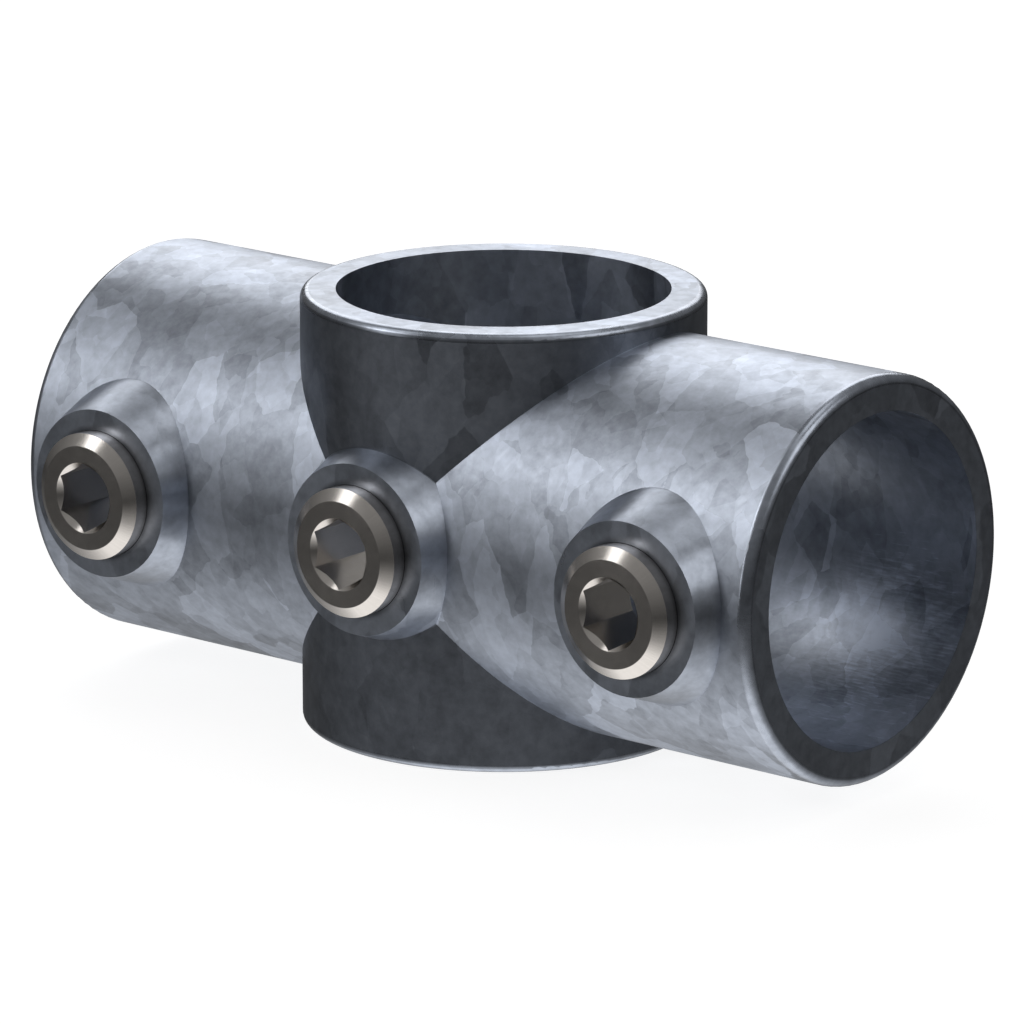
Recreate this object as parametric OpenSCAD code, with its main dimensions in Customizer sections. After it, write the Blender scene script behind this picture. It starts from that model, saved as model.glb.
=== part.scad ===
// Two socket cross tube clamp: one cast body with an upright bore and two
// sockets on one axis, and three hexagon socket set screws in tapered bosses.
// Origin where the axes cross, X along the sockets, Z up the upright bore,
// the bosses on the -Y side.

/* [Tube] */
// Outside diameter of the tube that every bore takes
tube_d = 42.4; // [38:0.1:44]
// Gap all round between the tube and its bore
tube_gap = 0.3; // [0.2:0.05:0.8]

/* [Casting] */
// Thickness of the cast wall round every bore
wall = 4.6; // [4:0.1:6]
// Length along the sockets, from mouth to mouth
cross_length = 119.2; // [118:0.2:150]
// Height of the upright body
body_height = 57.1; // [56:0.1:80]
// Rounding of the upright body's outer rims
body_rim = 1.1; // [0.4:0.1:2]
// Rounding of the socket mouths' outer rims
socket_rim = 1.3; // [0.4:0.1:2]

/* [Bosses] */
// Distance from a socket's mouth to the axis of its set screw
screw_inset = 16.1; // [15.6:0.1:18]
// Diameter of a boss's flat face
boss_face_d = 22.2; // [20:0.1:24]
// Height of a boss's face above the crest of the wall
boss_rise = 3.5; // [2:0.1:5]
// Slope of a boss's side from the screw's axis, in degrees
boss_slope = 20; // [10:1:24]

/* [Set screws] */
// Diameter of a set screw over its thread
screw_d = 16.7; // [14:0.1:17.5]
// Gap all round between a screw and its tapped hole
thread_gap = 0.05; // [0.02:0.01:0.1]
// How far a screw's face stands out of its boss
screw_proud = 3.1; // [2:0.1:4]
// How far a screw's tip stays back from the bore, inside its hole
tip_setback = 0.2; // [0.1:0.1:1]
// Width of the chamfer round a screw's face, across the screw
face_chamfer_w = 1.5; // [0.8:0.1:2]
// Depth of the chamfer round a screw's face, along the screw
face_chamfer_h = 1.1; // [0.6:0.1:1.8]
// Width across the flats of the hexagon socket
hex_flats = 8; // [6:0.1:8.4]
// Width of the countersink outside the socket's corners
hex_sink_w = 0.08; // [0.04:0.01:0.4]
// Diameter of the biting edge of the cup point
cup_d = 12; // [11:0.1:13]
// Width of the flat on the biting edge
cup_edge_w = 0.3; // [0.1:0.05:0.4]

/* [Hidden] */
$fn = 128;
// How far a cutting shape runs past the face that it cuts
over = 1;
bore_r = tube_d / 2 + tube_gap;
outer_r = bore_r + wall;
screw_spacing = cross_length / 2 - screw_inset;
boss_face_y = outer_r + boss_rise;
boss_face_r = boss_face_d / 2;
// A boss is rooted just past the bore's crest, and the bore trims it
boss_root_y = bore_r - over;
boss_root_r = boss_face_r + (boss_face_y - boss_root_y) * tan(boss_slope);
screw_r = screw_d / 2;
screw_face_y = boss_face_y + screw_proud;
screw_length = screw_face_y - bore_r - tip_setback;
hex_corner_r = hex_flats / sqrt(3);
hex_sink_r = hex_corner_r + hex_sink_w;
cup_r = cup_d / 2;
cup_hollow_r = cup_r - cup_edge_w;
galvanised = [0.60, 0.63, 0.67];
bare_steel = [0.36, 0.34, 0.32];

// A solid rod about Z, centred on the origin, with both rims rounded
module rounded_rod(r, h, rim) {
    rotate_extrude() {
        translate([0, -h / 2]) square([r - rim, h]);
        translate([0, rim - h / 2]) square([r, h - 2 * rim]);
        for (side = [-1, 1]) {
            translate([r - rim, side * (h / 2 - rim)]) intersection() {
                circle(rim);
                translate([0, side < 0 ? -rim : 0]) square(rim);
            }
        }
    }
}

// Places what is drawn along +Z at a set screw, pointing out of the bosses
module at_screw(x) {
    translate([x, 0, 0]) rotate([90, 0, 0]) children();
}

// A tapered boss that grows out of the wall, with its flat face outwards
module boss() {
    translate([0, 0, boss_root_y]) cylinder(h = boss_face_y - boss_root_y, r1 = boss_root_r, r2 = boss_face_r);
}

// The hole that a set screw runs in, from the bore out through the boss
module tapped_hole() {
    translate([0, 0, bore_r / 2]) cylinder(h = boss_face_y + over - bore_r / 2, r = screw_r + thread_gap);
}

module cross_casting() {
    color(galvanised) difference() {
        union() {
            rotate([0, 90, 0]) rounded_rod(outer_r, cross_length, socket_rim);
            rounded_rod(outer_r, body_height, body_rim);
            for (x = [-screw_spacing, 0, screw_spacing]) at_screw(x) boss();
        }
        rotate([0, 90, 0]) cylinder(h = cross_length + 2 * over, r = bore_r, center = true);
        // Turned so that the upright bore's wall starts at the middle screw's hole
        rotate([0, 0, -90]) cylinder(h = body_height + 2 * over, r = bore_r, center = true);
        for (x = [-screw_spacing, 0, screw_spacing]) at_screw(x) tapped_hole();
    }
}

// A set screw with its tip at the origin and its face outwards along +Z
module set_screw_form() {
    tip_h = screw_r - cup_r;
    difference() {
        rotate_extrude() polygon([
            [0, 0],
            [cup_r, 0],
            [screw_r, tip_h],
            [screw_r, screw_length - face_chamfer_h],
            [screw_r - face_chamfer_w, screw_length],
            [0, screw_length]
        ]);
        // The hexagon is broached right through, with two corners up and down
        translate([0, 0, -over]) rotate([0, 0, 30])
            cylinder(h = screw_length + 2 * over, r = hex_corner_r, $fn = 6);
        // Countersink at the face, 90 degrees across
        translate([0, 0, screw_length - hex_sink_r]) cylinder(h = hex_sink_r + over, r1 = 0, r2 = hex_sink_r + over);
        // Cup at the tip, 90 degrees across
        translate([0, 0, -over]) cylinder(h = cup_hollow_r + over, r1 = cup_hollow_r + over, r2 = 0);
    }
}

// A set screw in its place in the boss at x
module set_screw(x) {
    color(bare_steel) at_screw(x) translate([0, 0, bore_r + tip_setback]) set_screw_form();
}

module left_set_screw() set_screw(-screw_spacing);
module middle_set_screw() set_screw(0);
module right_set_screw() set_screw(screw_spacing);

cross_casting();
left_set_screw();
middle_set_screw();
right_set_screw();
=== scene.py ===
import logging
import math
from dataclasses import dataclass, field
from enum import Enum

import bpy
from mathutils import Matrix, Vector


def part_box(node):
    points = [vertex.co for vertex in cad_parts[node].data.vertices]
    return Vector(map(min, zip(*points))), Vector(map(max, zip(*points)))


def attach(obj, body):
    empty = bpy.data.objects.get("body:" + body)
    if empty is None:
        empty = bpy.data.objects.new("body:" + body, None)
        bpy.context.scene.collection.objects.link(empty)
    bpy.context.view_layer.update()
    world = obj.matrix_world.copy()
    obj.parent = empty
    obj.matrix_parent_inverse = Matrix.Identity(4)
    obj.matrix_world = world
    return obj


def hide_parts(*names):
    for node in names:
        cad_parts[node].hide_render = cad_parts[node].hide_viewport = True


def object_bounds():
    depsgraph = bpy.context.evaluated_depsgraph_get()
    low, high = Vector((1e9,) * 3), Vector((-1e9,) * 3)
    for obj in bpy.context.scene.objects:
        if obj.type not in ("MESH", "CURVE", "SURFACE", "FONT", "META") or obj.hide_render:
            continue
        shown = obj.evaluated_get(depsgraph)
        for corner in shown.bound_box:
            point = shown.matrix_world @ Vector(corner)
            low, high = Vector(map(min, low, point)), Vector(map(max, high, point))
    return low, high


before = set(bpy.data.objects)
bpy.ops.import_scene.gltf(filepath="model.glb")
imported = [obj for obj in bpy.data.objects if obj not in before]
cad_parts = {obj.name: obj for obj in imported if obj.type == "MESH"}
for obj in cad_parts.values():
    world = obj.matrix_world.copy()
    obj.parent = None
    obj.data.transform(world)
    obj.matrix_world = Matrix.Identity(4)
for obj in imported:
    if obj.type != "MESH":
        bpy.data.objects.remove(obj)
CAD_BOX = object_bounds()

LOG = logging.getLogger("cross_clamp")
MM = 0.001
NOISE_MIDDLE = 0.5
NOISE_DETAIL = 2.0


class Zone(Enum):
    """The surfaces of the casting that the finish treats in its own way: evener zinc, painted shade or a
    painted highlight.
    """

    UPRIGHT = "upright"
    END_FACE = "end_face"
    BOSS_FACE = "boss_face"
    BORE = "bore"
    PAINTED_GLEAM = "painted_gleam"
    TAPPED_HOLE = "tapped_hole"
    HOLE_LIP = "hole_lip"
    BOSS = "boss"
    RIM = "rim"


class Facing(Enum):
    """Where a lamp hangs, as seen from the clamp."""

    BACK_LEFT = (-0.57, 0.67, 0.57)
    FRONT_LEFT = (-0.52, -0.66, 0.55)
    FRONT_STRIP = (-0.53, -0.69, 0.52)
    RIGHT = (0.80, 0.16, 0.60)
    ABOVE = (0.20, 0.15, 1.0)


class Sketch:
    """Draws nodes into one tree and wires them as they are made."""

    def __init__(self, tree: bpy.types.NodeTree) -> None:
        """Starts on an empty tree.

        Args:
            tree: The material's, world's or group's tree; what it holds is cleared.
        """
        self.tree = tree
        tree.nodes.clear()

    @classmethod
    def of_material(cls, name: str) -> tuple[bpy.types.Material, "Sketch"]:
        """Starts a new material.

        Args:
            name: The material's name.

        Returns:
            The material, and a sketch on its tree.
        """
        made = bpy.data.materials.new(name)
        made.use_nodes = True
        return made, cls(made.node_tree)

    def feed(self, socket: bpy.types.NodeSocket, value: object) -> None:
        """Wires a socket, or sets it.

        Args:
            socket: The input to fill.
            value: Another node's output, or a plain value.
        """
        if isinstance(value, bpy.types.NodeSocket):
            self.tree.links.new(value, socket)
        elif value is not None:
            socket.default_value = value

    def node(
        self, kind: str, inputs: dict[str | int, object] | None = None, **settings: object
    ) -> bpy.types.Node:
        """Adds a node.

        Args:
            kind: The node's type name, without the ShaderNode prefix.
            inputs: What each named or numbered input takes.
            **settings: The node's own properties.

        Returns:
            The new node.
        """
        made = self.tree.nodes.new(kind if kind.startswith("Node") else f"ShaderNode{kind}")
        for name, value in settings.items():
            setattr(made, name, value)
        for name, value in (inputs or {}).items():
            self.feed(made.inputs[name], value)
        return made

    def math(self, operation: str, *values: object) -> bpy.types.NodeSocket:
        """One step of arithmetic on sockets or numbers."""
        made = self.node("Math", operation=operation)
        for socket, value in zip(made.inputs, values):
            self.feed(socket, value)
        return made.outputs[0]

    def vector(self, operation: str, *values: object) -> bpy.types.Node:
        """One step of vector arithmetic on sockets or vectors."""
        made = self.node("VectorMath", operation=operation)
        for socket, value in zip(made.inputs, values):
            self.feed(socket, value)
        return made

    def length(self, value: bpy.types.NodeSocket) -> bpy.types.NodeSocket:
        """The length of a vector."""
        return self.vector("LENGTH", value).outputs["Value"]

    def ease(
        self, value: object, low: float, high: float, start: float = 0.0, end: float = 1.0
    ) -> bpy.types.NodeSocket:
        """Eases from start to end as a value goes from low to high.

        Args:
            value: The socket to read.
            low: The value at which the result is start.
            high: The value at which the result is end.
            start: The result at and below low.
            end: The result at and above high.

        Returns:
            The eased value.
        """
        made = self.node("MapRange", {0: value, 1: low, 2: high, 3: start, 4: end})
        made.interpolation_type = "SMOOTHSTEP"
        return made.outputs[0]

    def group(self, tree: bpy.types.NodeTree, inputs: dict[str, object]) -> bpy.types.Node:
        """Places a shared group.

        Args:
            tree: The group's tree.
            inputs: What each of its named inputs takes.

        Returns:
            The group's node.
        """
        return self.node("Group", inputs, node_tree=tree)

    def from_screw(self, axes: bpy.types.Node, spacing: float) -> bpy.types.NodeSocket:
        """Measures where a point lies across the nearest set screw's axis.

        Args:
            axes: The node that gives the object coordinates apart.
            spacing: The distance between the screws' axes, along X.

        Returns:
            The offset from the axis, as a vector along X and Z.
        """
        nearest = self.math("ROUND", self.math("DIVIDE", axes.outputs["X"], spacing))
        aside = self.math("SUBTRACT", axes.outputs["X"], self.math("MULTIPLY", nearest, spacing))
        return self.node("CombineXYZ", {0: aside, 2: axes.outputs["Z"]}).outputs[0]


def grey(level: float) -> tuple[float, float, float, float]:
    """A plain grey with full alpha."""
    return (level, level, level, 1.0)


class ShaderShop:
    """Builds the shader groups that the finishes share, once each.

    The ripples of a crystal's edge and its streaks are counted per crystal size.
    """

    ripples: float = 3.0
    streaks: float = 5.0
    cloud_detail: float = 4.0
    cloud_roughness: float = 0.6

    def __init__(self) -> None:
        """Makes the groups."""
        self.spangle = self._spangle()
        self.mottle = self._mottle()

    @staticmethod
    def _group(
        name: str, inputs: dict[str, tuple[str, float | None]], outputs: dict[str, str]
    ) -> tuple[bpy.types.NodeTree, Sketch, bpy.types.Node, bpy.types.Node]:
        """Starts a shader group.

        Args:
            name: The group's name.
            inputs: Each input's short type and its default, where it has one.
            outputs: Each output's short type.

        Returns:
            The group, a sketch on it, and its input and output nodes.
        """
        group = bpy.data.node_groups.new(name, "ShaderNodeTree")
        for label, (kind, value) in inputs.items():
            made = group.interface.new_socket(label, in_out="INPUT", socket_type=f"NodeSocket{kind}")
            if value is not None:
                made.default_value = value
        for label, kind in outputs.items():
            group.interface.new_socket(label, in_out="OUTPUT", socket_type=f"NodeSocket{kind}")
        sketch = Sketch(group)
        return group, sketch, sketch.node("NodeGroupInput"), sketch.node("NodeGroupOutput")

    def _spangle(self) -> bpy.types.NodeTree:
        """Zinc crystals: cells of their own brightness, each with fine streaks in its own direction.

        Returns:
            A group with the outputs Shade, around 0.5, and Streak, around 0.
        """
        group, sk, start, end = self._group(
            "zinc_spangle",
            {"Position": ("Vector", None), "Crystal size": ("Float", 0.006), "Feather": ("Float", 0.3)},
            {"Shade": "Float", "Streak": "Float"},
        )
        position, size = start.outputs["Position"], start.outputs["Crystal size"]
        density = sk.math("DIVIDE", 1.0, size)
        middle = (NOISE_MIDDLE, NOISE_MIDDLE, NOISE_MIDDLE)
        ripple = sk.node("TexNoise", {
            "Vector": position,
            "Scale": sk.math("MULTIPLY", density, self.ripples),
            "Detail": NOISE_DETAIL,
        })
        shift = sk.vector("SCALE", sk.vector("SUBTRACT", ripple.outputs["Color"], middle).outputs[0])
        sk.feed(shift.inputs["Scale"], sk.math("MULTIPLY", size, start.outputs["Feather"]))
        bent = sk.vector("ADD", position, shift.outputs[0]).outputs[0]
        cells = sk.node("TexVoronoi", {"Vector": bent, "Scale": density})
        grain = sk.node("SeparateColor", {0: cells.outputs["Color"]})
        heading = sk.vector("SUBTRACT", cells.outputs["Color"], middle).outputs[0]
        heading = sk.vector("NORMALIZE", heading).outputs[0]
        along = sk.vector("DOT_PRODUCT", bent, heading).outputs["Value"]
        streak = sk.node("TexNoise", {
            "W": sk.math("ADD", along, grain.outputs[1]),
            "Scale": sk.math("MULTIPLY", density, self.streaks),
            "Detail": NOISE_DETAIL,
        }, noise_dimensions="1D")
        sk.feed(end.inputs["Shade"], grain.outputs[0])
        sk.feed(end.inputs["Streak"], sk.math("SUBTRACT", streak.outputs[0], NOISE_MIDDLE))
        return group

    def _mottle(self) -> bpy.types.NodeTree:
        """Soft clouds at one scale, as a value around 0.

        Returns:
            A group with the output Value.
        """
        group, sk, start, end = self._group(
            "mottle",
            {"Position": ("Vector", None), "Patch size": ("Float", 0.01), "Amount": ("Float", 1.0)},
            {"Value": "Float"},
        )
        noise = sk.node("TexNoise", {
            "Vector": start.outputs["Position"],
            "Scale": sk.math("DIVIDE", 1.0, start.outputs["Patch size"]),
            "Detail": self.cloud_detail,
            "Roughness": self.cloud_roughness,
        })
        centred = sk.math("SUBTRACT", noise.outputs[0], NOISE_MIDDLE)
        sk.feed(end.inputs["Value"], sk.math("MULTIPLY", centred, start.outputs["Amount"]))
        return group


@dataclass(frozen=True)
class GalvanisedFinish:
    """Hot dip galvanised iron: a spangled zinc skin, with painted shade on some of the casting's walls and
    a painted highlight in one bore.

    A hair is the slack with which the edges of the zones are found. An evened zone loses that share of its
    spangle's contrast.
    A zone's painted shade is the share of its brightness that it loses, and a negative share is a painted
    highlight.
    """

    zinc: tuple[float, float, float] = (0.388, 0.421, 0.485)
    bore_r: float = 21.5 * MM
    outer_r: float = 26.1 * MM
    boss_face_y: float = 29.6 * MM
    hole_r: float = 8.4 * MM
    lip: float = 1.1 * MM
    lip_fall: float = 2.0
    hole_spacing: float = 43.5 * MM
    thread_pitch: float = 1.337 * MM
    thread_crest: float = 0.15
    socket_rim: float = 1.3 * MM
    body_rim: float = 1.1 * MM
    hair: float = 0.03 * MM
    # Where the painted highlight lies in the right socket's bore, and how its edge and fine streaks run.
    painted_gleam_at: tuple[float, float, float] = (45 * MM, 18 * MM, -12 * MM)
    painted_gleam_reach: tuple[float, float, float] = (14 * MM, 20 * MM, 8 * MM)
    painted_gleam_edge: tuple[float, float] = (0.1, 1.2)
    streaks_grow: tuple[float, float] = (36 * MM, 48 * MM)
    streaks_depth: tuple[float, float] = (0.3, 2.2)
    streaks_shape: tuple[float, float, float] = (0.14, 1, 1)
    gleam_streak_width: float = 0.32 * MM
    crystal: float = 6.0 * MM
    small_crystal: float = 2.6 * MM
    feather: float = 0.22
    small_feather: float = 0.2
    drawn_out: tuple[float, float, float] = (0.95, 1.0, 0.6)
    cloud_patch: float = 1.7 * MM
    cloud_amount: float = 0.7
    base_shade: float = 0.72
    crystal_power: float = 1.6
    crystal_contrast: float = 0.50
    small_contrast: float = 0.24
    streak_contrast: float = 0.14
    even_shade: float = 0.93
    brightest: float = 2.0
    roughness: float = 0.36
    crystal_rough: float = 0.10
    streak_rough: float = 0.08
    bump_strength: float = 0.15
    bump_depth: float = 0.1 * MM
    evened: dict[Zone, float] = field(default_factory=lambda: {
        Zone.BOSS: 0.7,
        Zone.RIM: 0.7,
        Zone.END_FACE: 0.6,
        Zone.UPRIGHT: 0.5,
    })
    smoothed: dict[Zone, float] = field(default_factory=lambda: {
        Zone.BOSS: 0.07,
        Zone.RIM: 0.12,
    })
    # Painted shade on the upright's walls, the end faces, the boss faces and the bores, and rings of it
    # round the tapped holes. In the tapped holes it is partly the darker bare iron of the thread. The
    # negative share is the painted highlight in the right socket's bore.
    painted_light_and_shade: dict[Zone, float] = field(default_factory=lambda: {
        Zone.UPRIGHT: 0.42,
        Zone.END_FACE: 0.30,
        Zone.BOSS_FACE: 0.04,
        Zone.BORE: 0.10,
        Zone.PAINTED_GLEAM: -0.80,
        Zone.TAPPED_HOLE: 0.85,
        Zone.HOLE_LIP: 0.55,
    })

    def material(self, shop: ShaderShop) -> bpy.types.Material:
        """Builds the material.

        Args:
            shop: Holds the shared shader groups.

        Returns:
            The material.
        """
        made, sk = Sketch.of_material("galvanised_casting")
        place = sk.node("TexCoord").outputs["Object"]
        drawn = sk.vector("MULTIPLY", place, self.drawn_out).outputs[0]
        large = sk.group(shop.spangle, {
            "Position": drawn, "Crystal size": self.crystal, "Feather": self.feather,
        })
        small = sk.group(shop.spangle, {
            "Position": drawn, "Crystal size": self.small_crystal, "Feather": self.small_feather,
        })
        cloud = sk.group(shop.mottle, {
            "Position": place, "Patch size": self.cloud_patch, "Amount": self.cloud_amount,
        })
        masks = {zone: self._mask(sk, place, zone) for zone in Zone}
        shade = sk.math("POWER", large.outputs["Shade"], self.crystal_power)
        shade = sk.math("MULTIPLY_ADD", shade, self.crystal_contrast, self.base_shade)
        shade = sk.math("MULTIPLY_ADD", small.outputs["Shade"], self.small_contrast, shade)
        shade = sk.math("MULTIPLY_ADD", large.outputs["Streak"], self.streak_contrast, shade)
        for zone, share in self.evened.items():
            even = sk.math("MULTIPLY", masks[zone], share)
            shade = sk.math("MULTIPLY_ADD", sk.math("SUBTRACT", self.even_shade, shade), even, shade)
        shade = sk.math("ADD", shade, cloud.outputs["Value"])
        # Paints the zones' shade, and the highlight in the right bore, into the colour.
        for zone, strength in self.painted_light_and_shade.items():
            shade = sk.math("MULTIPLY", shade, sk.math("MULTIPLY_ADD", masks[zone], -strength, 1.0))
        colour = sk.vector("SCALE", self.zinc)
        sk.feed(colour.inputs["Scale"], sk.math("MINIMUM", shade, self.brightest))
        rough = sk.math("MULTIPLY_ADD", large.outputs["Shade"], self.crystal_rough, self.roughness)
        rough = sk.math("MULTIPLY_ADD", small.outputs["Streak"], self.streak_rough, rough)
        for zone, amount in self.smoothed.items():
            rough = sk.math("MULTIPLY_ADD", masks[zone], -amount, rough)
        bump = sk.node("Bump", {
            "Height": cloud.outputs["Value"], "Strength": self.bump_strength, "Distance": self.bump_depth,
        })
        shader = sk.node("BsdfPrincipled", {
            "Base Color": colour.outputs[0], "Roughness": rough, "Metallic": 1.0, "Normal": bump.outputs[0],
        })
        sk.node("OutputMaterial", {"Surface": shader.outputs[0]})
        return made

    def _mask(self, sk: Sketch, place: bpy.types.NodeSocket, zone: Zone) -> bpy.types.NodeSocket:
        """Tells where on the casting a zone lies.

        Args:
            sk: The material's sketch.
            place: The object coordinates.
            zone: The zone to find.

        Returns:
            1 inside the zone and 0 outside it.
        """
        across = sk.length(sk.vector("MULTIPLY", place, (0, 1, 1)).outputs[0])
        around = sk.length(sk.vector("MULTIPLY", place, (1, 1, 0)).outputs[0])
        axes = sk.node("SeparateXYZ", {0: place})
        if zone is Zone.UPRIGHT:
            outside = sk.math("GREATER_THAN", across, self.outer_r + self.hair)
            on_wall = sk.math("COMPARE", around, self.outer_r, 4 * self.hair)
            return sk.math("MULTIPLY", outside, on_wall)
        if zone is Zone.END_FACE:
            return self._beyond(sk, axes.outputs["X"], CAD_BOX[1].x - self.hair)
        if zone is Zone.BOSS_FACE:
            return sk.math("LESS_THAN", axes.outputs["Y"], self.hair - self.boss_face_y)
        # Inside the tapped holes: the darker bare iron of the tapped thread, and painted shade in the
        # thread's grooves between lighter crests.
        if zone is Zone.TAPPED_HOLE:
            away = sk.length(sk.from_screw(axes, self.hole_spacing))
            in_reach = sk.math("LESS_THAN", away, self.hole_r + self.hair)
            in_front = sk.math("LESS_THAN", axes.outputs["Y"], self.hair - self.bore_r / 2)
            in_hole = sk.math("MULTIPLY", in_reach, in_front)
            turn = sk.math("SINE", sk.math("MULTIPLY", axes.outputs["Y"], math.tau / self.thread_pitch))
            return sk.math("MULTIPLY", in_hole, sk.ease(turn, -1.0, 1.0, self.thread_crest))
        # A ring of painted shade on the boss face round each tapped hole, where the screw meets the
        # casting.
        if zone is Zone.HOLE_LIP:
            away = sk.length(sk.from_screw(axes, self.hole_spacing))
            near = sk.ease(away, self.hole_r, self.hole_r + self.lip, 1.0, 0.0)
            near = sk.math("POWER", near, self.lip_fall)
            return sk.math("MULTIPLY", near, self._mask(sk, place, Zone.BOSS_FACE))
        if zone is Zone.BOSS:
            return sk.math("GREATER_THAN", sk.math("MINIMUM", across, around), self.outer_r + 2 * self.hair)
        if zone is Zone.RIM:
            at_mouth = self._beyond(sk, axes.outputs["X"], CAD_BOX[1].x - self.socket_rim)
            at_end = self._beyond(sk, axes.outputs["Z"], CAD_BOX[1].z - self.body_rim)
            mouth_wall = sk.math("GREATER_THAN", across, self.outer_r - self.socket_rim)
            end_wall = sk.math("GREATER_THAN", around, self.outer_r - self.body_rim)
            mouth_rim = sk.math("MULTIPLY", at_mouth, mouth_wall)
            end_rim = sk.math("MULTIPLY", at_end, end_wall)
            return sk.math("MAXIMUM", mouth_rim, end_rim)
        # The bores carry painted shade, and within them lies the patch with the painted highlight.
        inner = sk.math("LESS_THAN", sk.math("MINIMUM", across, around), self.bore_r + 2 * self.hair)
        return inner if zone is Zone.BORE else sk.math("MULTIPLY", inner, self._painted_gleam(sk, place))

    @staticmethod
    def _beyond(sk: Sketch, along: bpy.types.NodeSocket, limit: float) -> bpy.types.NodeSocket:
        """1 where a coordinate is farther out than a limit, on either side, and 0 elsewhere."""
        return sk.math("GREATER_THAN", sk.math("ABSOLUTE", along), limit)

    def _painted_gleam(self, sk: Sketch, place: bpy.types.NodeSocket) -> bpy.types.NodeSocket:
        """Tells where the right socket's bore carries a painted highlight, in fine streaks along it.

        Args:
            sk: The material's sketch.
            place: The object coordinates.

        Returns:
            1 in the middle of the patch, and 0 outside it.
        """
        away = sk.vector("SUBTRACT", place, self.painted_gleam_at).outputs[0]
        away = sk.length(sk.vector("DIVIDE", away, self.painted_gleam_reach).outputs[0])
        fine = sk.vector("MULTIPLY", place, self.streaks_shape).outputs[0]
        streak = sk.node("TexNoise", {"Vector": fine, "Scale": 1 / self.gleam_streak_width, "Detail": NOISE_DETAIL})
        streak = sk.math("SUBTRACT", streak.outputs[0], NOISE_MIDDLE)
        mouthwards = sk.node("SeparateXYZ", {0: place}).outputs["X"]
        depth = sk.math("MULTIPLY", away, sk.ease(mouthwards, *self.streaks_grow, *self.streaks_depth))
        edge = sk.math("MULTIPLY_ADD", streak, depth, away)
        return sk.math("SUBTRACT", 1.0, sk.ease(edge, *self.painted_gleam_edge))


@dataclass(frozen=True)
class TurnedSteelFinish:
    """Plain turned steel, faintly brown, with the fine marks of the tool round each screw's axis and
    painted shade on its flat face.
    """

    steel: tuple[float, float, float] = (0.62, 0.585, 0.55)
    roughness: float = 0.215
    painted_face_shade: float = 0.72
    hair: float = 0.03 * MM
    ring_pitch: float = 0.12 * MM
    ring_depth: float = 0.004 * MM
    ring_strength: float = 0.5
    lines_round: float = 40.0
    line_amount: float = 0.16
    cloud_patch: float = 1.5 * MM
    cloud_amount: float = 0.12

    def material(self, shop: ShaderShop, spacing: float, face_y: float) -> bpy.types.Material:
        """Builds the material, which all the screws share.

        Args:
            shop: Holds the shared shader groups.
            spacing: The distance between the screws' axes, along X.
            face_y: Where the screws' faces are.

        Returns:
            The material.
        """
        made, sk = Sketch.of_material("set_screw_steel")
        place = sk.node("TexCoord").outputs["Object"]
        axes = sk.node("SeparateXYZ", {0: place})
        local = sk.from_screw(axes, spacing)
        way = sk.vector("NORMALIZE", local).outputs[0]
        lines = sk.node("TexNoise", {"Vector": way, "Scale": self.lines_round, "Detail": NOISE_DETAIL})
        lines = sk.math("SUBTRACT", lines.outputs[0], NOISE_MIDDLE)
        cloud = sk.group(shop.mottle, {
            "Position": place, "Patch size": self.cloud_patch, "Amount": self.cloud_amount,
        })
        on_face = sk.math("LESS_THAN", axes.outputs["Y"], face_y + self.hair)
        shade = sk.math("MULTIPLY_ADD", lines, self.line_amount, 1.0)
        shade = sk.math("ADD", shade, cloud.outputs["Value"])
        # The flat face gets painted shade, darker than the rest of the screw.
        shade = sk.math("MULTIPLY", shade, sk.math("MULTIPLY_ADD", on_face, self.painted_face_shade - 1.0, 1.0))
        colour = sk.vector("SCALE", self.steel)
        sk.feed(colour.inputs["Scale"], shade)
        rough = sk.math("ADD", self.roughness, cloud.outputs["Value"])
        turns = sk.math("SINE", sk.math("MULTIPLY", sk.length(local), math.tau / self.ring_pitch))
        rings = sk.math("MULTIPLY", turns, on_face)
        bump = sk.node("Bump", {
            "Height": rings, "Strength": self.ring_strength, "Distance": self.ring_depth,
        })
        shader = sk.node("BsdfPrincipled", {
            "Base Color": colour.outputs[0], "Roughness": rough, "Metallic": 1.0, "Normal": bump.outputs[0],
        })
        sk.node("OutputMaterial", {"Surface": shader.outputs[0]})
        return made


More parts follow.
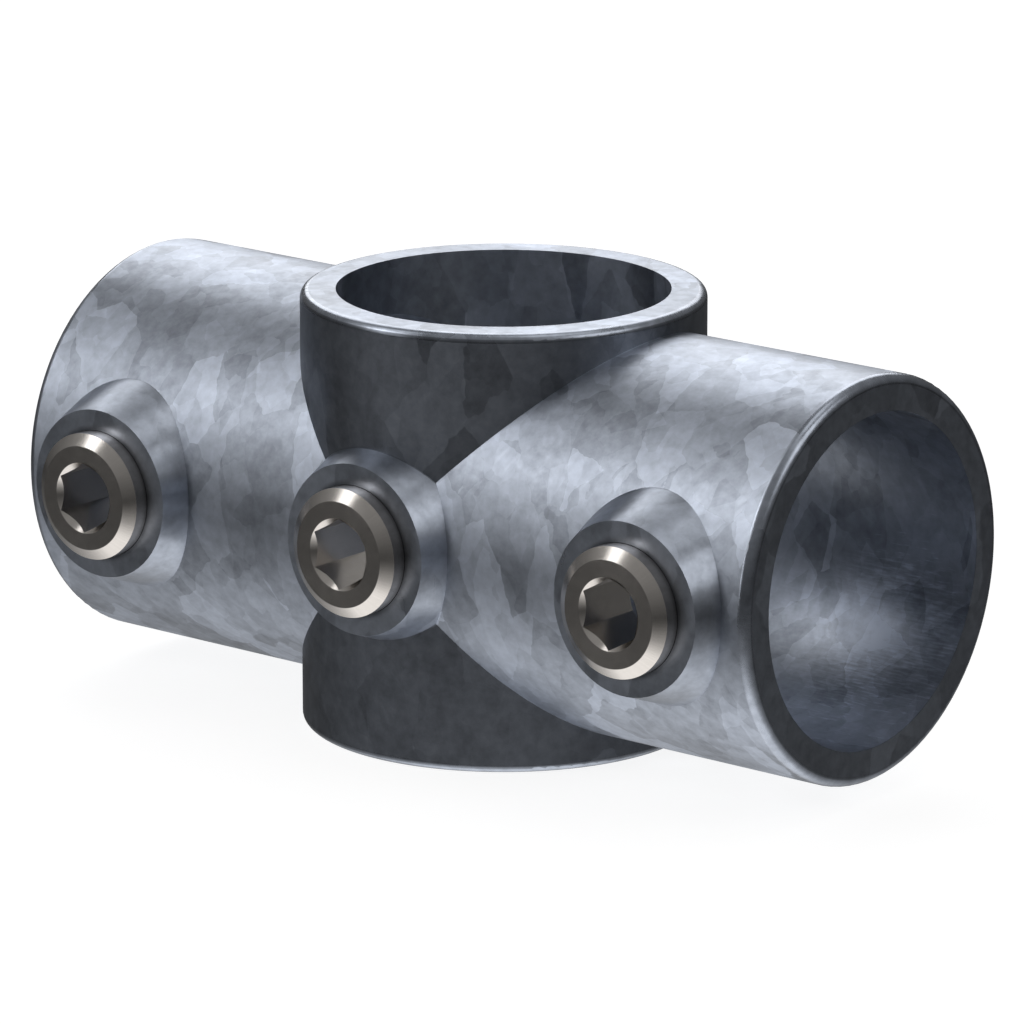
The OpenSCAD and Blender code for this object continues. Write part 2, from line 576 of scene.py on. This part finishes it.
class Bench:
    """The steps on the modelling bench that the pieces go through.

    An end face is told by how squarely it faces up or down, as the height of its normal.
    """

    squarely: float = 0.99

    @staticmethod
    def take(piece: bpy.types.Object) -> None:
        """Selects one piece alone and makes it the active one."""
        bpy.ops.object.select_all(action="DESELECT")
        piece.select_set(True)
        bpy.context.view_layer.objects.active = piece

    @staticmethod
    def rod(name: str, radius: float, bottom: float, top: float, sides: int) -> bpy.types.Object:
        """Cuts a length of round or many-sided bar that stands on the Z axis.

        Args:
            name: The piece's name.
            radius: Its radius over the corners.
            bottom: The height of its lower end.
            top: The height of its upper end.
            sides: How many sides it has.

        Returns:
            The bar, with its place in its mesh.
        """
        bpy.ops.object.select_all(action="DESELECT")
        bpy.ops.mesh.primitive_cylinder_add(
            vertices=sides, radius=radius, depth=top - bottom, location=(0, 0, (top + bottom) / 2)
        )
        bpy.ops.object.transform_apply(location=True, rotation=True, scale=True)
        piece = bpy.context.active_object
        piece.name = name
        return piece

    @staticmethod
    def pick_end(piece: bpy.types.Object, up: bool) -> None:
        """Goes into edit mode with only the upper or lower end face selected.

        Args:
            piece: The piece to work on.
            up: True for the end that faces up.
        """
        Bench.take(piece)
        bpy.ops.object.mode_set(mode="EDIT")
        bpy.ops.mesh.select_mode(type="FACE")
        bpy.ops.mesh.select_all(action="DESELECT")
        bpy.ops.object.mode_set(mode="OBJECT")
        side = 1 if up else -1
        faces = [f for f in piece.data.polygons if side * f.normal.z > Bench.squarely]
        outermost = max(faces, key=lambda f: side * f.center.z)
        outermost.select = True
        bpy.ops.object.mode_set(mode="EDIT")

    @staticmethod
    def chamfer_end(piece: bpy.types.Object, up: bool, width: float, height: float) -> None:
        """Draws an end out into a chamfer round a smaller face.

        Args:
            piece: The piece to work on.
            up: True for the end that faces up.
            width: The chamfer's width across the piece.
            height: The chamfer's height along the piece, which it is lengthened by.
        """
        Bench.pick_end(piece, up)
        bpy.ops.mesh.inset(thickness=width, depth=0)
        bpy.ops.transform.translate(value=(0, 0, height if up else -height))
        bpy.ops.object.mode_set(mode="OBJECT")

    @staticmethod
    def combine(piece: bpy.types.Object, tool: bpy.types.Object, operation: str) -> None:
        """Cuts, joins or trims one piece with another, which is used up.

        Args:
            piece: The piece that stays.
            tool: The piece that is used up.
            operation: DIFFERENCE, UNION or INTERSECT.
        """
        Bench.take(piece)
        step = piece.modifiers.new("combine", "BOOLEAN")
        step.operation = operation
        step.solver = "EXACT"
        step.object = tool
        bpy.ops.object.modifier_apply(modifier=step.name)
        bpy.data.objects.remove(tool, do_unlink=True)


@dataclass(frozen=True)
class RoundedRod:
    """The outer skin of a rod with rounded rims, centred on the origin."""

    along: Vector
    half_length: float
    radius: float
    rim: float
    tolerance: float = 0.005 * MM

    def normal(self, place: Vector) -> Vector | None:
        """Tells which way the skin faces at a point.

        Args:
            place: The point.

        Returns:
            The normal there, or None where the point isn't on the skin.
        """
        lift = place.dot(self.along)
        outward = place - self.along * lift
        rise = math.copysign(max(abs(lift) - self.half_length + self.rim, 0.0), lift)
        spread = max(outward.length - self.radius + self.rim, 0.0)
        if abs(math.hypot(rise, spread) - self.rim) > self.tolerance:
            return None
        return (outward.normalized() * spread + self.along * rise).normalized()


@dataclass
class Casting:
    """The cast body with its two sockets and three bosses."""

    node: str = "cross_casting"
    body: str = "casting"
    slot: str = "galvanised_casting"
    merge: float = 0.002 * MM
    crease: float = math.radians(18)
    agreement: float = 2.0
    finish: GalvanisedFinish = field(default_factory=GalvanisedFinish)

    def build(self, shop: ShaderShop) -> None:
        """Shows the casting as a merged copy of its node, whose round rims shade evenly, and dresses both.

        Args:
            shop: Holds the shared shader groups.
        """
        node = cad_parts[self.node]
        shown = bpy.data.objects.new("casting_merged", node.data.copy())
        bpy.context.scene.collection.objects.link(shown)
        Bench.take(shown)
        bpy.ops.object.mode_set(mode="EDIT")
        bpy.ops.mesh.select_all(action="SELECT")
        bpy.ops.mesh.remove_doubles(threshold=self.merge)
        bpy.ops.object.mode_set(mode="OBJECT")
        bpy.ops.mesh.customdata_custom_splitnormals_clear()
        bpy.ops.object.shade_smooth_by_angle(angle=self.crease, keep_sharp_edges=False)
        even = shown.modifiers.new("even", "WEIGHTED_NORMAL")
        even.mode = "FACE_AREA_WITH_ANGLE"
        even.keep_sharp = True
        bpy.ops.object.modifier_apply(modifier=even.name)
        self._round_evenly(shown.data)
        zinc = self.finish.material(shop)
        for mesh in (shown.data, node.data):
            mesh.materials.clear()
            mesh.materials.append(zinc)
        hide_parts(self.node)
        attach(shown, self.body)
        LOG.info("%s: %d faces", shown.name, len(shown.data.polygons))

    def _round_evenly(self, mesh: bpy.types.Mesh) -> None:
        """Gives the walls, rims and end rings the normals of the true round forms.

        A triangle takes them where all its corners are on such a form and it faces about the same way:
        the three exact normals along its own add up to more than the agreement, out of 3.

        Args:
            mesh: The merged mesh.
        """
        upright, cross = Vector((0, 0, 1)), Vector((1, 0, 0))
        rods = (
            RoundedRod(cross, CAD_BOX[1].x, self.finish.outer_r, self.finish.socket_rim),
            RoundedRod(upright, CAD_BOX[1].z, self.finish.outer_r, self.finish.body_rim),
        )
        normals = [corner.vector.copy() for corner in mesh.corner_normals]
        for face in mesh.polygons:
            for rod in rods:
                exact = [rod.normal(mesh.vertices[corner].co) for corner in face.vertices]
                if all(exact) and face.normal.dot(sum(exact, Vector())) > self.agreement:
                    for corner, normal in zip(face.loop_indices, exact):
                        normals[corner] = normal
        mesh.normals_split_custom_set(normals)


@dataclass(frozen=True)
class SetScrewForm:
    """The form of a hexagon socket set screw, with a thread of the 55 degree pipe size and a cup point.

    It is modelled along +Z, with its tip at the origin.
    """

    radius: float
    length: float
    pitch: float = 1.337 * MM
    thread_depth: float = 0.8 * MM
    collar: float = 4.4 * MM
    chamfer_w: float = 1.5 * MM
    chamfer_h: float = 1.1 * MM
    hex_flats: float = 8 * MM
    sink_w: float = 0.08 * MM
    cup_r: float = 6 * MM
    cup_edge: float = 0.3 * MM
    over: float = 1 * MM
    sides: int = 96
    key_sides: int = 6
    ridge_sides: int = 3
    ridge_r: float = 0.58 * MM
    ridge_merge: float = 0.001 * MM
    merge: float = 0.002 * MM
    crease: float = math.radians(24)

    def build(self, name: str) -> bpy.types.Object:
        """Models the screw.

        Args:
            name: The piece's name.

        Returns:
            The screw, standing on its tip.
        """
        screw = self._blank(name)
        Bench.combine(screw, self._thread(), "UNION")
        hex_corner = self.hex_flats / math.sqrt(3)
        key_way = Bench.rod("key_way", hex_corner, -self.over, self.length + self.over, self.key_sides)
        Bench.combine(screw, key_way, "DIFFERENCE")
        sink_r = hex_corner + self.sink_w
        Bench.combine(screw, self._cone("sink", sink_r, self.length, True), "DIFFERENCE")
        Bench.combine(screw, self._cone("cup", self.cup_r - self.cup_edge, 0.0, False), "DIFFERENCE")
        self._finish(screw)
        return screw

    def _blank(self, name: str) -> bpy.types.Object:
        """Turns the screw's shank, its smooth collar and the chamfers at both ends.

        Args:
            name: The piece's name.

        Returns:
            The blank.
        """
        root_r = self.radius - self.thread_depth
        tip_h = root_r - self.cup_r
        blank = Bench.rod(name, root_r, tip_h, self.length - self.collar, self.sides)
        Bench.chamfer_end(blank, False, tip_h, tip_h)
        Bench.pick_end(blank, True)
        step = (0, 0, self.thread_depth)
        bpy.ops.mesh.extrude_region_move(TRANSFORM_OT_translate={"value": step})
        wider = self.radius / root_r
        bpy.ops.transform.resize(value=(wider, wider, 1), center_override=(0, 0, self.length - self.collar))
        rest = self.collar - self.thread_depth - self.chamfer_h
        bpy.ops.mesh.extrude_region_move(TRANSFORM_OT_translate={"value": (0, 0, rest)})
        bpy.ops.object.mode_set(mode="OBJECT")
        Bench.chamfer_end(blank, True, self.chamfer_w, self.chamfer_h)
        return blank

    def _thread(self) -> bpy.types.Object:
        """Winds the thread's ridge round the shank and trims its lower end to the tip's chamfer.

        Returns:
            The ridge.
        """
        bpy.ops.object.select_all(action="DESELECT")
        quarter = math.pi / 2
        bpy.ops.mesh.primitive_circle_add(
            vertices=self.ridge_sides, radius=self.ridge_r, fill_type="NOTHING",
            location=(self.radius - self.ridge_r, 0, 0), rotation=(quarter, quarter, 0),
        )
        bpy.ops.object.transform_apply(location=True, rotation=True, scale=True)
        ridge = bpy.context.active_object
        ridge.name = "ridge"
        wind = ridge.modifiers.new("wind", "SCREW")
        wind.screw_offset = self.pitch
        wind.iterations = math.ceil((self.length - self.collar) / self.pitch)
        wind.steps = wind.render_steps = self.sides // 2
        bpy.ops.object.modifier_apply(modifier=wind.name)
        bpy.ops.object.mode_set(mode="EDIT")
        bpy.ops.mesh.select_all(action="SELECT")
        bpy.ops.mesh.remove_doubles(threshold=self.ridge_merge)
        bpy.ops.mesh.fill_holes(sides=self.ridge_sides + 1)
        bpy.ops.mesh.select_all(action="SELECT")
        bpy.ops.mesh.normals_make_consistent(inside=False)
        bpy.ops.object.mode_set(mode="OBJECT")
        reach = self.radius + self.over
        rise = reach - self.cup_r
        sleeve = Bench.rod("sleeve", reach, rise, self.length - self.collar + self.thread_depth, self.sides)
        Bench.chamfer_end(sleeve, False, rise, rise)
        Bench.combine(ridge, sleeve, "INTERSECT")
        return ridge

    def _cone(self, name: str, radius: float, level: float, up: bool) -> bpy.types.Object:
        """Makes a cutter for a 90 degree countersink.

        Args:
            name: The cutter's name.
            radius: The countersink's radius where it breaks the surface.
            level: The height of that surface.
            up: True where the surface faces up.

        Returns:
            The cutter.
        """
        bpy.ops.object.select_all(action="DESELECT")
        wide, side = radius + self.over, 1 if up else -1
        bpy.ops.mesh.primitive_cone_add(
            vertices=self.sides, radius1=0 if up else wide, radius2=wide if up else 0, depth=wide,
            location=(0, 0, level + side * (self.over - wide / 2)),
        )
        bpy.ops.object.transform_apply(location=True, rotation=True, scale=True)
        cutter = bpy.context.active_object
        cutter.name = name
        return cutter

    def _finish(self, screw: bpy.types.Object) -> None:
        """Merges doubles, turns the faces outwards and smooths the round ones.

        Args:
            screw: The screw to finish.
        """
        Bench.take(screw)
        bpy.ops.object.mode_set(mode="EDIT")
        bpy.ops.mesh.select_all(action="SELECT")
        bpy.ops.mesh.remove_doubles(threshold=self.merge)
        bpy.ops.mesh.normals_make_consistent(inside=False)
        bpy.ops.object.mode_set(mode="OBJECT")
        bpy.ops.object.shade_smooth_by_angle(angle=self.crease)


@dataclass
class SetScrews:
    """The three set screws, modelled once and copied into the bosses."""

    bodies: tuple[str, ...] = ("left_screw", "middle_screw", "right_screw")
    slot: str = "set_screw_steel"
    finish: TurnedSteelFinish = field(default_factory=TurnedSteelFinish)

    def build(self, shop: ShaderShop) -> None:
        """Models the screws, puts each in the place of its node and dresses it.

        Args:
            shop: Holds the shared shader groups.
        """
        low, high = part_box(self._node(self.bodies[1]))
        form = SetScrewForm(radius=(high[0] - low[0]) / 2, length=high[1] - low[1])
        last_low, last_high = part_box(self._node(self.bodies[-1]))
        spacing = (last_low[0] + last_high[0]) / 2
        steel = self.finish.material(shop, spacing, low[1])
        pattern = form.build("screw_pattern")
        for body in self.bodies:
            self._fit(pattern, body, steel)
        bpy.data.objects.remove(pattern, do_unlink=True)

    def _fit(self, pattern: bpy.types.Object, body: str, steel: bpy.types.Material) -> None:
        """Copies the screw into one boss.

        Args:
            pattern: The screw that is copied.
            body: The body that the copy rides on.
            steel: The screw's material.
        """
        node = self._node(body)
        low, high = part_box(node)
        Bench.take(pattern)
        bpy.ops.object.duplicate(linked=False)
        screw = bpy.context.active_object
        screw.name = f"{body}_threaded"
        screw.rotation_euler = (math.pi / 2, 0, 0)
        screw.location = ((low[0] + high[0]) / 2, high[1], (low[2] + high[2]) / 2)
        bpy.ops.object.transform_apply(location=True, rotation=True, scale=True)
        for mesh in (screw.data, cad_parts[node].data):
            mesh.materials.clear()
            mesh.materials.append(steel)
        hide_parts(node)
        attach(screw, body)
        LOG.info("%s: %d faces", screw.name, len(screw.data.polygons))

    @staticmethod
    def _node(body: str) -> str:
        """Names the node that a body carries."""
        return body.replace("_screw", "_set_screw")


@dataclass(frozen=True)
class SoftLamp:
    """A soft rectangular lamp, by its width, height and power, and how far away it hangs."""

    width: float
    height: float
    power: float
    distance: float = 2.0


@dataclass
class Studio:
    """The white floor, the graded reflector, the soft lamps and the camera."""

    azimuth: float = 39.479
    elevation: float = 14.999
    distance: float = 956.03 * MM
    lens: float = 260.75
    far_end: float = 20.0
    aim_right: float = 1.068 * MM
    aim_up: float = -1.153 * MM
    floor_r: float = 3.0
    floor_sides: int = 64
    floor_grey: float = 0.8
    seen_grey: float = 0.35
    seen_glow: float = 0.85
    reflector_centre: tuple[float, float, float] = (0.05, -0.10, -0.35)
    reflector_middle: float = 0.20
    reflector_glow: float = 1.3
    reflector_fall: float = 1.4
    sky_reach: tuple[float, float] = (-0.3, 0.9)
    sky_glow: tuple[float, float] = (0.08, 0.36)
    lamps: dict[Facing, SoftLamp] = field(default_factory=lambda: {
        Facing.BACK_LEFT: SoftLamp(1.45, 1.55, 12.9),
        Facing.FRONT_LEFT: SoftLamp(0.6, 0.6, 2.7),
        Facing.FRONT_STRIP: SoftLamp(0.6, 2.8, 7.3),
        Facing.RIGHT: SoftLamp(1.1, 1.1, 5.0),
        Facing.ABOVE: SoftLamp(0.9, 0.9, 2.5),
    })

    def place_camera(self) -> None:
        """Puts the camera at the photograph's viewing angle."""
        turn, rise = math.radians(self.azimuth), math.radians(self.elevation)
        back = Vector((math.sin(turn) * math.cos(rise), -math.cos(turn) * math.cos(rise), math.sin(rise)))
        right = Vector((math.cos(turn), math.sin(turn), 0.0))
        up = back.cross(right)
        target = right * self.aim_right + up * self.aim_up
        camera = bpy.data.objects.new("camera", bpy.data.cameras.new("camera"))
        bpy.context.scene.collection.objects.link(camera)
        camera.data.lens = self.lens
        camera.data.clip_end = self.far_end
        axes = Matrix((right, up, back)).transposed().to_4x4()
        camera.matrix_world = Matrix.Translation(target + back * self.distance) @ axes
        bpy.context.scene.camera = camera

    def _disc(
        self, name: str, centre: tuple[float, float, float], look: bpy.types.Material
    ) -> bpy.types.Object:
        """Lays a wide round sheet.

        Args:
            name: The sheet's name.
            centre: Where its centre is.
            look: Its material.

        Returns:
            The sheet.
        """
        bpy.ops.object.select_all(action="DESELECT")
        bpy.ops.mesh.primitive_circle_add(
            vertices=self.floor_sides, radius=self.floor_r, fill_type="NGON", location=centre
        )
        sheet = bpy.context.active_object
        sheet.name = name
        sheet.data.materials.append(look)
        return sheet

    def lay_floor(self) -> None:
        """Lays the pale floor under the clamp."""
        made, sk = Sketch.of_material("floor_white")
        path = sk.node("LightPath")
        seen = sk.math("MAXIMUM", path.outputs["Is Camera Ray"], path.outputs["Is Glossy Ray"])
        seen = sk.math("MAXIMUM", seen, path.outputs["Is Transmission Ray"])
        plain = sk.node("BsdfDiffuse", {"Color": grey(self.floor_grey)})
        shade = sk.node("BsdfDiffuse", {"Color": grey(self.seen_grey)})
        glow = sk.node("Emission", {"Color": grey(1.0), "Strength": self.seen_glow})
        both = sk.node("AddShader", {0: shade.outputs[0], 1: glow.outputs[0]})
        mixed = sk.node("MixShader", {0: seen, 1: plain.outputs[0], 2: both.outputs[0]})
        sk.node("OutputMaterial", {"Surface": mixed.outputs[0]})
        floor = self._disc("floor", (0, 0, CAD_BOX[0].z), made)
        floor.visible_glossy = False

    def lay_reflector(self) -> None:
        """Lays a card under the floor for the metal to mirror, ever darker from its middle outwards.

        It stands in for the floor in the metal's reflections, and nothing else sees it.
        """
        made, sk = Sketch.of_material("graded_card")
        place = sk.node("TexCoord").outputs["Object"]
        away = sk.math("MAXIMUM", sk.length(place), self.reflector_middle)
        share = sk.math("POWER", sk.math("DIVIDE", self.reflector_middle, away), self.reflector_fall)
        glow = sk.node("Emission", {"Strength": sk.math("MULTIPLY", share, self.reflector_glow)})
        sk.node("OutputMaterial", {"Surface": glow.outputs[0]})
        card = self._disc("reflector", self.reflector_centre, made)
        card.visible_camera = False
        card.visible_diffuse = False
        card.visible_shadow = False

    def hang_lamps(self) -> None:
        """Hangs the soft lamps, each facing the clamp."""
        for facing, lamp in self.lamps.items():
            light = bpy.data.lights.new(f"lamp_{facing.name.lower()}", "AREA")
            light.shape = "RECTANGLE"
            light.size, light.size_y = lamp.width, lamp.height
            light.energy = lamp.power
            holder = bpy.data.objects.new(light.name, light)
            bpy.context.scene.collection.objects.link(holder)
            way = Vector(facing.value).normalized()
            up = Vector((1, 0, 0)).cross(way).normalized()
            axes = Matrix((up.cross(way), up, way)).transposed().to_4x4()
            holder.matrix_world = Matrix.Translation(way * lamp.distance) @ axes

    def fill_world(self) -> None:
        """Gives the room its soft light, brighter overhead."""
        world = bpy.data.worlds.new("studio")
        bpy.context.scene.world = world
        world.use_nodes = True
        sk = Sketch(world.node_tree)
        way = sk.node("TexCoord").outputs["Generated"]
        height = sk.node("SeparateXYZ", {0: way}).outputs["Z"]
        soft = sk.node("Background", {"Strength": sk.ease(height, *self.sky_reach, *self.sky_glow)})
        sk.node("OutputWorld", {"Surface": soft.outputs[0]})

    def build(self) -> None:
        """Sets up the whole studio."""
        scene = bpy.context.scene
        scene.view_settings.view_transform = "Standard"
        self.place_camera()
        self.lay_floor()
        self.lay_reflector()
        self.hang_lamps()
        self.fill_world()
        LOG.info("studio: camera, floor, reflector and %d lamps", len(self.lamps))


def main() -> None:
    """Builds the studio and dresses the clamp."""
    logging.basicConfig(level=logging.INFO, format="%(message)s")
    Studio().build()
    shop = ShaderShop()
    Casting().build(shop)
    SetScrews().build(shop)


if __name__ == "__main__":
    main()
